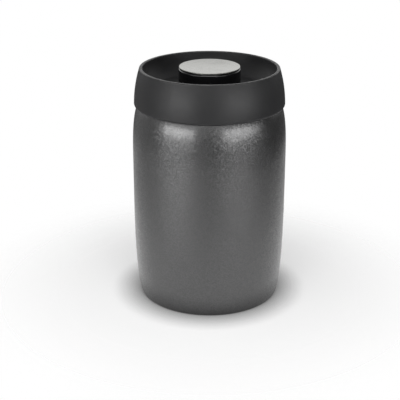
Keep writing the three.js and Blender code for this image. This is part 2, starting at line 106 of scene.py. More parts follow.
SCREW, SCREW_HEAD, SCREW_HEAD_HEIGHT, SCREW_SPARE = 1.4, 2.7, 1.7, 0.5

# Levels and radii that follow
NECK = BODY_RADIUS - SHOULDER_DEPTH
NECK_BORE = NECK - STEEL


def shoulder_height(radius):
    """Height of the shoulder's outside at a radius: a quarter superellipse on the straight side."""
    across = 1 - (BODY_RADIUS - radius) / SHOULDER_DEPTH
    return SHOULDER_START + SHOULDER_HEIGHT * (1 - across**SHOULDER_FULLNESS) ** (1 / SHOULDER_FULLNESS)


SHOULDER_TOP = shoulder_height(NECK + NECK_FILLET)
LIP_CENTRE = SHOULDER_TOP + NECK_HEIGHT
FLANGE_BOTTOM = LIP_CENTRE + LIP + FIT
FLANGE_TOP = FLANGE_BOTTOM + LINER_FLANGE
DISH_UNDER = FLANGE_TOP - DISH_SINK
DISH_FLOOR = DISH_UNDER + DISH_WALL
RIM_TOP = DISH_FLOOR + DISH_DEPTH
LID_BOTTOM = shoulder_height(LID_RADIUS - SKIRT_WALL) + LID_GAP
PLUG = NECK_BORE - PLUG_GAP
LINER_INNER = PLUG - LINER
DISH_FLAT = LINER_INNER - DISH_INSET
COLLAR = KNOB_RADIUS + COLLAR_GAP
GROOVE_BOTTOM = FLANGE_BOTTOM - GROOVE_HEIGHT
PLATE_TOP = DISH_UNDER - PLATE_DROP
PLATE_BOTTOM = PLATE_TOP - LINER
WELL = KNOB_RADIUS + WELL_GAP
WELL_OUTER = WELL + LINER
BOSS_PITCH = (WELL_OUTER + LINER_INNER) / 2
KNOB_TOP = RIM_TOP + KNOB_RISE
KNOB_BOTTOM = KNOB_TOP - KNOB_HEIGHT
STEP_TOP = KNOB_BOTTOM - PRESS - PRESS_SPARE
STEP_BOTTOM = STEP_TOP - LINER
CUP_FLOOR = STEP_TOP - CUP_DEPTH
CUP_BOTTOM = CUP_FLOOR - LINER
CUP_OUTER = CUP_RADIUS + LINER
DISC_SEAT = KNOB_TOP - DISC
DISC_UNDER = KNOB_TOP - DISC_FLANGE
KNOB_SHOULDER = DISC_UNDER - FIT
KNOB_UNDER = DISC_SEAT - KNOB_TOP_WALL
FLANGE_UP = KNOB_UNDER - KNOB_BOSS_LENGTH
FLANGE_DOWN = FLANGE_UP - STEM_FLANGE_THICK
WEB_TOP = DISC_SEAT - WEB_DEPTH
WEB_BOTTOM = WEB_TOP - WEB
STEM_TOP = WEB_BOTTOM - FIT
WASHER_TOP = CUP_BOTTOM - SEAT_HEIGHT - FIT
VALVE_TOP = WASHER_TOP - WASHER
VALVE_BOTTOM = VALVE_TOP - VALVE_DISC
WASHER_RADIUS = SEAT_INNER + SEAT_WIDTH + WASHER_OVER
VALVE_RADIUS = WASHER_RADIUS - VALVE_INSET
SCREW_BORE, SCREW_HEAD_BORE = SCREW + FIT, SCREW_HEAD + FIT
SCREEN_TOP = VALVE_BOTTOM - PRESS - PRESS_SPARE
CAP_FLOOR = SCREEN_TOP - SCREEN
CAP_BOTTOM = CAP_FLOOR - CAP_WALL
CAP_TOP = STEP_BOTTOM - FIT
CAP_INNER = CUP_OUTER + FIT
CAP_OUTER = CAP_INNER + CAP_WALL
SNAP_CENTRE = CAP_TOP - SNAP_DROP


# Outlines: rows of radius, height and corner radius, in millimetres


def plain(curve):
    """A smooth stretch of outline: its points, each with no corner radius."""
    return np.column_stack([np.asarray(curve, float), np.zeros(len(curve))])


def rounded(rows, closed=False):
    """Rounds an outline's corners.

    At each corner the arc's tangent points lie the radius over the tangent of half the corner's angle
    along both sides, and the arc turns evenly between the two directions from its centre.
    One more point goes just beyond each tangent point. Rows with no corner radius stay as they are.
    """
    rows = np.asarray(rows, float)
    point, size = rows[:, :2], rows[:, 2]
    before, after = np.roll(point, 1, 0) - point, np.roll(point, -1, 0) - point
    before_length = np.maximum(np.linalg.norm(before, axis=1), 1e-9)
    after_length = np.maximum(np.linalg.norm(after, axis=1), 1e-9)
    a, b = before / before_length[:, None], after / after_length[:, None]
    half = np.arccos(np.clip((a * b).sum(1), -1, 1)) / 2
    live = (size > 0) & (half < math.pi / 2 - 1e-3)
    half = np.where(live, half, math.pi / 4)
    run = size / np.tan(half)
    bisector = a + b
    bisector /= np.maximum(np.linalg.norm(bisector, axis=1), 1e-9)[:, None]
    centre = point + bisector * (size / np.sin(half))[:, None]
    start = point + a * run[:, None] - centre
    end = point + b * run[:, None] - centre
    share = np.linspace(0, 1, ARC_STEPS + 1)[None, :, None]
    swing = (math.pi - 2 * half)[:, None, None]
    blend_start = np.sin((1 - share) * swing) / np.sin(swing)
    blend_end = np.sin(share * swing) / np.sin(swing)
    arc = centre[:, None] + blend_start * start[:, None] + blend_end * end[:, None]
    spare_before = np.maximum(before_length - run - np.roll(run, 1), 0) / 3
    spare_after = np.maximum(after_length - run - np.roll(run, -1), 0) / 3
    lead = point + a * (run + np.minimum(spare_before, SUPPORT))[:, None]
    tail = point + b * (run + np.minimum(spare_after, SUPPORT))[:, None]
    every = np.concatenate([lead[:, None], arc, tail[:, None]], axis=1)
    keep = np.repeat(live[:, None], every.shape[1], axis=1)
    every[~live, 0] = point[~live]
    keep[~live, 0] = True
    if not closed:
        every[[0, -1], 0] = point[[0, -1]]
        keep[[0, -1]] = False
        keep[[0, -1], 0] = True
    path = every[keep]
    step = np.linalg.norm(np.diff(path, axis=0), axis=1)
    return path[np.concatenate([[True], step > 1e-6])]


def drawn_in(radius, depth, length, fullness, left, steps):
    """Quarter superellipse from an upright side inwards, as radius and distance along the side."""
    angle = np.linspace(0, math.acos((left / depth) ** (fullness / 2)), steps + 1)
    return radius - depth + depth * np.cos(angle) ** (2 / fullness), length * np.sin(angle) ** (2 / fullness)


def circle_arc(centre, radius, start, end, steps):
    """Points on a circle from one angle to another, in degrees."""
    angle = np.radians(np.linspace(start, end, steps + 1))
    return np.column_stack([centre[0] + radius * np.cos(angle), centre[1] + radius * np.sin(angle)])


# Meshes from grids of points


def mesh_of(name, grid, close_rows=False, row_material=None):
    """Mesh from a grid of points, rows along the outline and columns round it.

    Each cell joins its four corner points. The last column joins the first, and so does the last row if it closes.
    Points that fall together, as at a pole, become one, and cells that lose a corner become triangles.
    """
    rows, columns, _ = grid.shape
    number = np.arange(rows * columns).reshape(rows, columns)
    last_row = rows if close_rows else rows - 1
    right = np.roll(number, -1, axis=1)
    down = np.roll(number, -1, axis=0)
    across = np.roll(right, -1, axis=0)
    cells = np.stack([number, right, across, down], axis=-1)[:last_row]
    material = np.zeros(rows, int) if row_material is None else row_material
    return welded(name, grid.reshape(-1, 3), cells.reshape(-1, 4), np.repeat(material[:last_row], columns))


def welded(name, points, cells, cell_material):
    """Mesh from points in millimetres and four-cornered cells, with equal points made one."""
    steps = np.round(points / WELD).astype(np.int64)
    _, first, same = np.unique(steps, axis=0, return_index=True, return_inverse=True)
    cells = same.reshape(-1)[cells]
    doubled = cells == np.roll(cells, -1, axis=1)
    count = doubled.sum(1)
    kept = ~doubled[count == 1]
    threes = cells[count == 1][kept].reshape(-1, 3)
    mesh = smooth_mesh(name, points[first] * MM, cells[count == 0].tolist() + threes.tolist())
    order = np.concatenate([cell_material[count == 0], cell_material[count == 1]])
    mesh.polygons.foreach_set("material_index", order.astype(np.int32))
    return mesh


def smooth_mesh(name, points, faces):
    """Mesh from points in metres and faces, shaded smooth."""
    mesh = bpy.data.meshes.new(name)
    mesh.from_pydata(points.tolist(), [], faces)
    mesh.polygons.foreach_set("use_smooth", np.ones(len(mesh.polygons), bool))
    mesh.update()
    return mesh


def turned(name, outline, closed=False, sides=SIDES, place=(0, 0), row_material=None):
    """Surface of revolution: the outline's radius and height, carried round an upright axis."""
    angle = np.linspace(0, 2 * math.pi, sides, endpoint=False)
    radius, height = outline[:, 0][:, None], outline[:, 1][:, None]
    x = place[0] + radius * np.cos(angle)
    y = place[1] + radius * np.sin(angle)
    grid = np.stack([x, y, np.broadcast_to(height, x.shape)], axis=-1)
    return mesh_of(name, grid, closed, row_material)


def tube(name, path, radius, sides):
    """Round wire along a path: circles square to the path, turned to keep their first side level.

    The side direction is the path's direction crossed with up, and its partner is the cross of the two.
    The two ends are closed by a point in the middle of each end circle.
    """
    ahead = np.gradient(path, axis=0)
    ahead /= np.linalg.norm(ahead, axis=1)[:, None]
    side = np.cross(ahead, [0.0, 0.0, 1.0])
    side /= np.linalg.norm(side, axis=1)[:, None]
    other = np.cross(side, ahead)
    angle = np.linspace(0, 2 * math.pi, sides, endpoint=False)
    ring = np.cos(angle)[None, :, None] * side[:, None] + np.sin(angle)[None, :, None] * other[:, None]
    grid = path[:, None] + radius * ring
    caps = [np.repeat(path[[i]][:, None], sides, axis=1) for i in (0, -1)]
    return mesh_of(name, np.concatenate([caps[0], grid, caps[1]]))


def placed(name, data):
    """Adds an object to the scene."""
    thing = bpy.data.objects.new(name, data)
    bpy.context.scene.collection.objects.link(thing)
    return thing


def joined(name, meshes):
    """One mesh from several, their points and faces one after another."""
    build = [np.empty((len(m.vertices), 3), np.float32) for m in meshes]
    for points, m in zip(build, meshes):
        m.vertices.foreach_get("co", points.ravel())
    starts = np.cumsum([0] + [len(p) for p in build])
    faces = [[i + start for i in f.vertices] for m, start in zip(meshes, starts) for f in m.polygons]
    return smooth_mesh(name, np.concatenate(build), faces)


def places_on_circle(count, radius, first=0.0, centre=(0, 0)):
    """Even places on a circle, as an array of x and y."""
    angle = math.radians(first) + 2 * math.pi * np.arange(count) / count
    return np.column_stack([centre[0] + radius * np.cos(angle), centre[1] + radius * np.sin(angle)])


def rod(place, radius, bottom, top, sides=32):
    """Plain round cutter or boss between two heights."""
    return turned("rod", np.array([[0, bottom], [radius, bottom], [radius, top], [0, top]]), sides=sides, place=place)


def combined(mesh, others, how):
    """Mesh after an exact boolean with several others, which is then applied."""
    body, tool = placed("work", mesh), placed("tool", joined("tool", others))
    step = body.modifiers.new("cut", "BOOLEAN")
    step.operation, step.object, step.solver = how, tool, "EXACT"
    done = bpy.data.meshes.new_from_object(body.evaluated_get(bpy.context.evaluated_depsgraph_get()))
    done.name = mesh.name
    for one in (body, tool):
        bpy.data.objects.remove(one)
    done.set_sharp_from_angle(angle=math.radians(40))
    return done


def piece(mesh, body, slot, stands_for, *more):
    """Puts a finished mesh on a body in place of a CAD node, in its slot's finish and any more that it uses."""
    thing = placed(mesh.name, mesh)
    mesh.materials.clear()
    for name in (slot, *more):
        mesh.materials.append(FINISHES[name])
    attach(thing, body)
    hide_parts(stands_for)
    return thing


# Shader building: t is the node tree that is added to


def node(t, kind, values=None, **settings):
    """Adds a shader node. Values set sockets by name or number, and a socket as value makes a link."""
    made = t.nodes.new(kind)
    for key, value in settings.items():
        setattr(made, key, value)
    for key, value in (values or {}).items():
        socket = made.inputs[key]
        if isinstance(value, bpy.types.NodeSocket):
            t.links.new(value, socket)
        else:
            socket.default_value = value
    return made


def maths(t, operation, first, *rest, clamp=False):
    """Arithmetic on values, from the first to the last."""
    for value in rest or [0]:
        first = node(t, "ShaderNodeMath", {0: first, 1: value}, operation=operation, use_clamp=clamp).outputs[0]
    return first


def plus(t, *values):
    return maths(t, "ADD", *values)


def times(t, *values):
    return maths(t, "MULTIPLY", *values)


def largest(t, *values):
    return maths(t, "MAXIMUM", *values)


def vectors(t, operation, a, b=(0, 0, 0)):
    """One step of arithmetic on vectors; to scale one, b is a value."""
    second = "Scale" if operation == "SCALE" else 1
    return node(t, "ShaderNodeVectorMath", {0: a, second: b}, operation=operation).outputs[0]


def length_of(t, vector):
    return node(t, "ShaderNodeVectorMath", {0: vector}, operation="LENGTH").outputs["Value"]


def spread(t, value, low, high, to_low=0.0, to_high=1.0):
    """Maps a value from one range to another, clamped and eased at both ends."""
    values = {"Value": value, "From Min": low, "From Max": high, "To Min": to_low, "To Max": to_high}
    return node(t, "ShaderNodeMapRange", values, interpolation_type="SMOOTHSTEP").outputs["Result"]


def patchy(t, wave, low=0.0, high=1.0):
    """Soft patches from the low to the high value, out of the middle of a noise's range."""
    return spread(t, wave, 0.3, 0.7, low, high)


def tint(t, share, first, second):
    """Colour between two, each three numbers or a socket, by a share from 0 to 1."""
    ends = [(*end, 1) if isinstance(end, tuple) else end for end in (first, second)]
    return node(t, "ShaderNodeMix", {0: share, 6: ends[0], 7: ends[1]}, data_type="RGBA").outputs[2]


def noise(t, place, scale, detail, rough=0.5, distortion=0.0):
    """Noise at a place, with as many waves to the metre as the scale says."""
    values = {"Vector": place, "Scale": scale, "Detail": detail, "Roughness": rough, "Distortion": distortion}
    return node(t, "ShaderNodeTexNoise", values).outputs["Fac"]


def cell_shades(t, given):
    """Cells of a Voronoi pattern, each with a random colour of its own."""
    return node(t, "ShaderNodeTexVoronoi", {"Vector": given["Place"], "Scale": given["Scale"]}).outputs["Color"]


def group(name, build, inputs, outputs):
    """Shader node group with a place, more named inputs, and named outputs, which build makes from them.

    Place and Normal are vectors, and the others are values.
    """
    t = bpy.data.node_groups.new(name, "ShaderNodeTree")
    for way, labels in (("INPUT", ["Place", *inputs]), ("OUTPUT", outputs)):
        for label in labels:
            kind = "NodeSocketVector" if label in ("Place", "Normal") else "NodeSocketFloat"
            t.interface.new_socket(label, in_out=way, socket_type=kind)
    source, sink = t.nodes.new("NodeGroupInput"), t.nodes.new("NodeGroupOutput")
    for label, socket in build(t, source.outputs).items():
        t.links.new(socket, sink.inputs[label])
    return t


def build_speckle(t, given):
    """Paint flecks: each cell has its own shade, mixed with fine noise, which is also the height."""
    place, scale = given["Place"], given["Scale"]
    shade = node(t, "ShaderNodeSeparateColor", {0: cell_shades(t, given)}).outputs[0]
    fine = noise(t, place, times(t, scale, 0.8), 3.0, 0.6)
    broad = noise(t, place, times(t, scale, 0.12), 2.0)
    fleck = plus(t, times(t, shade, 0.65), times(t, fine, 0.35))
    return {"Fleck": fleck, "Height": fine, "Patch": broad}


def build_flakes(t, given):
    """Metal flakes: each cell leans the surface's normal its own way, by up to half the tilt along each axis."""
    off = vectors(t, "SUBTRACT", cell_shades(t, given), (0.5, 0.5, 0.5))
    lean = vectors(t, "SCALE", off, given["Tilt"])
    return {"Normal": vectors(t, "NORMALIZE", vectors(t, "ADD", given["Normal"], lean))}


def build_grain(t, given):
    """Moulded skin: a fine even grain and slow patches in how it shines."""
    place, scale = given["Place"], given["Scale"]
    return {"Height": noise(t, place, scale, 2.0, 0.55), "Patch": noise(t, place, times(t, scale, 0.02), 3.0)}


def build_turning(t, given):
    """Marks that run round the upright axis.

    Noise is read at the direction from the axis, which changes it slowly along a mark,
    and at the radius plus the height, which changes it fast across the marks.
    """
    x, y, z = node(t, "ShaderNodeSeparateXYZ", {0: given["Place"]}).outputs
    flat = node(t, "ShaderNodeCombineXYZ", {0: x, 1: y}).outputs[0]
    slow = vectors(t, "SCALE", vectors(t, "NORMALIZE", flat), given["Swing"])
    across = times(t, plus(t, length_of(t, flat), z), given["Lines"])
    fast = node(t, "ShaderNodeCombineXYZ", {2: across}).outputs[0]
    marks = noise(t, vectors(t, "ADD", slow, fast), 1.0, 4.0, 0.7)
    return {"Height": marks, "Tone": patchy(t, marks)}


def build_touch(t, given):
    """Faint marks left by handling: soft smears, stretched a little and broken up."""
    values = {"Vector": given["Place"], "Scale": (1.0, 1.3, 0.6), "Rotation": (0.3, 0.2, 0.7)}
    stretched = node(t, "ShaderNodeMapping", values).outputs[0]
    return {"Smear": spread(t, noise(t, stretched, given["Scale"], 4.0, 0.6, 0.6), 0.48, 0.72)}


def build_rub_and_highlight(t, given):
    """Band near one height on the axis, broken up by noise: rubbing wear at the foot, and along the lid's rim both
    rubbing polish and a painted highlight.
    """
    z = node(t, "ShaderNodeSeparateXYZ", {0: given["Place"]}).outputs[2]
    away = maths(t, "ABSOLUTE", maths(t, "SUBTRACT", z, given["Height"]))
    near = maths(t, "SUBTRACT", 1.0, maths(t, "DIVIDE", away, given["Width"]), clamp=True)
    broken = spread(t, noise(t, given["Place"], 700.0, 4.0, 0.65), 0.35, 0.6)
    return {"Mask": maths(t, "MULTIPLY", near, broken, clamp=True)}


SPECKLE = group("paint_speckle", build_speckle, ["Scale"], ["Fleck", "Height", "Patch"])
FLAKES = group("metal_flakes", build_flakes, ["Scale", "Tilt", "Normal"], ["Normal"])
GRAIN = group("moulded_grain", build_grain, ["Scale"], ["Height", "Patch"])
TURNING = group("turning_marks", build_turning, ["Lines", "Swing"], ["Height", "Tone"])
TOUCH = group("touch_marks", build_touch, ["Scale"], ["Smear"])
RUB_AND_HIGHLIGHT = group("rubbed_band_and_highlight", build_rub_and_highlight, ["Height", "Width"], ["Mask"])


class Finish:
    """One material: a Principled shader with object coordinates at hand."""

    def __init__(self, name, **constants):
        self.material = bpy.data.materials.new(name)
        self.material.use_nodes = True
        self.tree = self.material.node_tree
        self.shader = self.tree.nodes["Principled BSDF"]
        self.place = node(self.tree, "ShaderNodeTexCoord").outputs["Object"]
        for label, value in constants.items():
            self.shader.inputs[label.replace("_", " ")].default_value = value

    def use(self, effect, **values):
        """Outputs of an effect's group, with its inputs set to numbers or linked to sockets."""
        return node(self.tree, "ShaderNodeGroup", {"Place": self.place, **values}, node_tree=effect).outputs

    def smear(self, scale):
        return self.use(TOUCH, Scale=scale)["Smear"]

    def bump(self, height, strength, depth):
        """Normal from a height pattern, with its depth in millimetres."""
        values = {"Height": height, "Strength": strength, "Distance": depth * MM}
        return node(self.tree, "ShaderNodeBump", values).outputs[0]

    def made(self, colour, rough, normal):
        """Feeds the shader what changes over the surface, and returns the material."""
        for label, socket in (("Base Color", colour), ("Roughness", rough), ("Normal", normal)):
            self.tree.links.new(socket, self.shader.inputs[label])
        return self.material


# Finishes by slot: patterns have so many cells, waves or lines to the metre


def powder_coat():
    """Gunmetal powder coat: metal flecks of several shades, leaning flakes and a clear film, rubbed at the foot."""
    f = Finish("powder_coat", Metallic=1.0, Coat_Weight=1.0, Coat_Roughness=0.22)
    t = f.tree
    cells = 1500.0
    speckle = f.use(SPECKLE, Scale=cells)
    rub = f.use(RUB_AND_HIGHLIGHT, Height=0.0, Width=0.6 * MM)["Mask"]
    base = tint(t, speckle["Fleck"], (0.090, 0.090, 0.091), (0.132, 0.132, 0.133))
    rough = plus(t, patchy(t, speckle["Patch"], 0.35, 0.41), times(t, f.smear(28.0), 0.03))
    flakes = f.use(FLAKES, Scale=cells, Tilt=0.2, Normal=f.bump(speckle["Height"], 0.25, 0.06))
    return f.made(tint(t, rub, base, (0.36, 0.36, 0.365)), rough, flakes["Normal"])


def bare_steel():
    """Stainless steel brushed round the axis, with faint touch marks."""
    f = Finish("bare_steel", Metallic=1.0)
    t = f.tree
    marks = f.use(TURNING, Lines=7000.0, Swing=1.2)
    colour = tint(t, marks["Tone"], (0.50, 0.50, 0.51), (0.66, 0.66, 0.67))
    rough = plus(t, spread(t, marks["Tone"], 0, 1, 0.24, 0.34), times(t, f.smear(45.0), 0.08))
    return f.made(colour, rough, f.bump(marks["Height"], 0.25, 0.04))


def lid_plastic():
    """Black moulded plastic with a fine satin skin, polished by rubbing along the rim, where a lighter colour paints a
    highlight line.
    """
    f = Finish("lid_plastic", Specular_IOR_Level=0.44)
    t = f.tree
    grain = f.use(GRAIN, Scale=2600.0)
    # Band along the rim: its lower roughness is rubbing polish, and its lighter colour is a painted highlight
    rim = f.use(RUB_AND_HIGHLIGHT, Height=RIM_TOP * MM, Width=0.7 * MM)["Mask"]
    base = tint(t, grain["Patch"], (0.017, 0.017, 0.018), (0.023, 0.023, 0.024))
    polished = maths(t, "SUBTRACT", patchy(t, grain["Patch"], 0.42, 0.49), times(t, rim, 0.08))
    rough = maths(t, "SUBTRACT", polished, times(t, f.smear(40.0), 0.03))
    # Lighter colour along the rim is a painted highlight line
    return f.made(tint(t, rim, base, (0.06, 0.06, 0.06)), rough, f.bump(grain["Height"], 0.2, 0.04))


def liner_plastic():
    """Dark grey moulded plastic, a little glossier than the cover."""
    f = Finish("liner_plastic")
    t = f.tree
    grain = f.use(GRAIN, Scale=2000.0)
    colour = tint(t, grain["Patch"], (0.036, 0.036, 0.038), (0.048, 0.048, 0.051))
    return f.made(colour, patchy(t, grain["Patch"], 0.36, 0.46), f.bump(grain["Height"], 0.15, 0.04))


def knob_plastic():
    """Polished black plastic with faint smears and hairline marks round it."""
    f = Finish("knob_plastic", Specular_IOR_Level=0.9)
    t = f.tree
    touch = f.smear(70.0)
    marks = f.use(TURNING, Lines=5000.0, Swing=2.0)
    colour = tint(t, touch, (0.006, 0.006, 0.007), (0.009, 0.009, 0.010))
    rough = plus(t, spread(t, marks["Tone"], 0, 1, 0.04, 0.06), times(t, touch, 0.06))
    return f.made(colour, rough, f.bump(marks["Height"], 0.04, 0.02))


def disc_metal():
    """Satin aluminium, fine turning marks and a slightly warm grey."""
    f = Finish("disc_metal", Metallic=1.0)
    t = f.tree
    marks = f.use(TURNING, Lines=6000.0, Swing=1.0)
    colour = tint(t, marks["Tone"], (0.355, 0.355, 0.334), (0.41, 0.41, 0.39))
    rough = plus(t, spread(t, marks["Tone"], 0, 1, 0.20, 0.28), times(t, f.smear(90.0), 0.05))
    return f.made(colour, rough, f.bump(marks["Height"], 0.12, 0.03))


def silicone():
    """Milky silicone rubber, matte, with a soft glow under the skin."""
    f = Finish("silicone", Subsurface_Weight=0.25, Subsurface_Radius=(0.002, 0.002, 0.002))
    t = f.tree
    grain = f.use(GRAIN, Scale=1800.0)
    colour = tint(t, grain["Patch"], (0.68, 0.68, 0.66), (0.76, 0.76, 0.74))
    return f.made(colour, patchy(t, grain["Patch"], 0.50, 0.62), f.bump(grain["Height"], 0.12, 0.03))


def acetal():
    """Natural acetal, turned: ivory white with faint lathe marks."""
    f = Finish("acetal")
    t = f.tree
    marks = f.use(TURNING, Lines=4000.0, Swing=1.0)
    colour = tint(t, marks["Tone"], (0.76, 0.75, 0.71), (0.82, 0.81, 0.78))
    return f.made(colour, spread(t, marks["Tone"], 0, 1, 0.34, 0.42), f.bump(marks["Height"], 0.15, 0.03))


def wire_steel(name, clean, dull, rough):
    """Bright wire or screw steel with fine scratches and a little dullness in patches."""
    f = Finish(name, Metallic=1.0)
    t = f.tree
    grain, touch = f.use(GRAIN, Scale=2500.0), f.smear(160.0)
    patches = plus(t, patchy(t, grain["Patch"], rough, rough + 0.08), times(t, touch, 0.1))
    return f.made(tint(t, touch, clean, dull), patches, f.bump(grain["Height"], 0.15, 0.02))


FINISHES = {
    "powder_coat": powder_coat(),
    "bare_steel": bare_steel(),
    "lid_plastic": lid_plastic(),
    "liner_plastic": liner_plastic(),
    "knob_plastic": knob_plastic(),
    "disc_metal": disc_metal(),
    "silicone": silicone(),
    "acetal": acetal(),
    "spring_steel": wire_steel("spring_steel", (0.60, 0.60, 0.61), (0.48, 0.48, 0.49), 0.22),
    "screw_steel": wire_steel("screw_steel", (0.62, 0.62, 0.63), (0.50, 0.50, 0.51), 0.26),
}


# Canister


def canister_body():
    """Steel body: the outside outline from base to rolled lip, then the inside back down, turned."""
    foot_outer = BODY_RADIUS - FOOT_DEPTH
    foot_inner = foot_outer - FOOT_WIDTH
    out, down = drawn_in(BODY_RADIUS, FOOT_DEPTH, FOOT_HEIGHT, FOOT_FULLNESS, 0, 40)
    foot = np.column_stack([out, FOOT_HEIGHT - down])[::-1]
    out, up = drawn_in(BODY_RADIUS, SHOULDER_DEPTH, SHOULDER_HEIGHT, SHOULDER_FULLNESS, NECK_FILLET, 48)
    shoulder = np.column_stack([out, SHOULDER_START + up])
    fillet = (NECK + NECK_FILLET, SHOULDER_TOP + NECK_FILLET)
    lip_start = -math.degrees(math.acos((STEEL - LIP) / LIP))
    outside = rounded(np.vstack([
        [[0, BASE_RISE, 0], [foot_inner - BASE_RUN, BASE_RISE, BASE_CORNER], [foot_inner, 0, FOOT_CORNER]],
        plain(foot),
        plain(shoulder),
        plain(circle_arc(fillet, NECK_FILLET, 270, 180, 8)[1:]),
    ]))
    lip = circle_arc((NECK_BORE + LIP, LIP_CENTRE), LIP, lip_start, 180, 24)
    drawn, shoulder_up, foot_down = BODY_RADIUS - STEEL, SHOULDER_HEIGHT - STEEL, FOOT_HEIGHT - STEEL
    out, up = drawn_in(drawn, SHOULDER_DEPTH, shoulder_up, SHOULDER_FULLNESS, NECK_FILLET, 40)
    inner_shoulder = np.column_stack([out, SHOULDER_START + up])[::-1]
    out, down = drawn_in(drawn, FOOT_DEPTH, foot_down, FOOT_FULLNESS, 0, 32)
    inner_foot = np.column_stack([out, FOOT_HEIGHT - down])
    inside = rounded(np.vstack([
        plain(circle_arc(fillet, NECK_FILLET + STEEL, 180, 270, 8)),
        plain(inner_shoulder[1:]),
        plain(inner_foot),
        [
            [foot_inner, STEEL, FOOT_CORNER],
            [foot_inner - BASE_RUN, BASE_RISE + STEEL, BASE_CORNER],
            [0, BASE_RISE + STEEL, 0],
        ],
    ]))
    outline = np.vstack([outside, lip, inside])
    finish = np.repeat([0, 1], [len(outside), len(lip) + len(inside)])
    mesh = turned("canister_body", outline, row_material=finish)
    piece(mesh, "canister", "powder_coat", "canister_shell", "bare_steel")


# Lid


def skirt_radius(z):
    """Radius of the lid's side, a parabola from the skirt's bottom to its rim."""
    return LID_RADIUS - LID_TAPER * ((z - LID_BOTTOM) / (RIM_TOP - LID_BOTTOM)) ** 2


def dish_arc(run, rise, steps):
    """Quarter ellipse from a flat floor, level at its start and upright at its end."""
    angle = np.linspace(0, math.pi / 2, steps + 1)
    return run * np.sin(angle), rise * (1 - np.cos(angle))


def lid_top():
    """Lid cover: the closed outline of skirt, rim, dish and collar, turned, with four screw bosses."""
    rim_base = RIM_TOP - RIM_EDGE
    under_top = RIM_TOP - 2 * RIM_WIDTH
    collar_end = DISH_FLOOR - COLLAR_LENGTH
    z = np.linspace(LID_BOTTOM + SKIRT_CORNER, rim_base, 33)
    outside = np.column_stack([skirt_radius(z), z])
    rim_outer = skirt_radius(rim_base)
    rim_inner = rim_outer - RIM_WIDTH
    out, up = dish_arc(rim_inner - DISH_FLAT, rim_base - DISH_FLOOR, 40)
    dish = np.column_stack([DISH_FLAT + out, DISH_FLOOR + up])[::-1]
    out, up = dish_arc(skirt_radius(under_top) - SKIRT_WALL - DISH_FLAT, under_top - DISH_UNDER, 28)
    under = np.column_stack([DISH_FLAT + out, DISH_UNDER + up])
    z = np.linspace(under_top, LID_BOTTOM + 2, 12)[1:]
    skirt_inside = np.column_stack([skirt_radius(z) - SKIRT_WALL, z])
    corner = (LID_RADIUS - SKIRT_CORNER, LID_BOTTOM + SKIRT_CORNER)
    outline = rounded(np.vstack([
        [[LID_RADIUS - SKIRT_WALL, LID_BOTTOM, 0.15]],
        plain(circle_arc(corner, SKIRT_CORNER, -90, 0, 12)[:-1]),
        plain(outside),
        plain(circle_arc((rim_outer - RIM_EDGE, rim_base), RIM_EDGE, 0, 90, 8)[1:]),
        plain(circle_arc((rim_inner + RIM_EDGE, rim_base), RIM_EDGE, 90, 180, 8)),
        plain(dish[1:]),
        [
            [COLLAR, DISH_FLOOR, 0.5], [COLLAR, collar_end, 0.3],
            [COLLAR + COLLAR_WALL, collar_end, 0.3], [COLLAR + COLLAR_WALL, DISH_UNDER, 0.4],
        ],
        plain(under),
        plain(skirt_inside),
    ]), closed=True)
    mesh = turned("lid_top", outline, closed=True)
    places = places_on_circle(4, BOSS_PITCH)
    bosses = [rod(p, BOSS_RADIUS, PLATE_TOP + FIT, DISH_UNDER + PAST, 40) for p in places]
    bores = [rod(p, SCREW_BORE, PLATE_TOP - PAST, DISH_FLOOR - BORE_COVER) for p in places]
    mesh = combined(combined(mesh, bosses, "UNION"), bores, "DIFFERENCE")
    piece(mesh, "lid", "lid_plastic", "lid_cover")


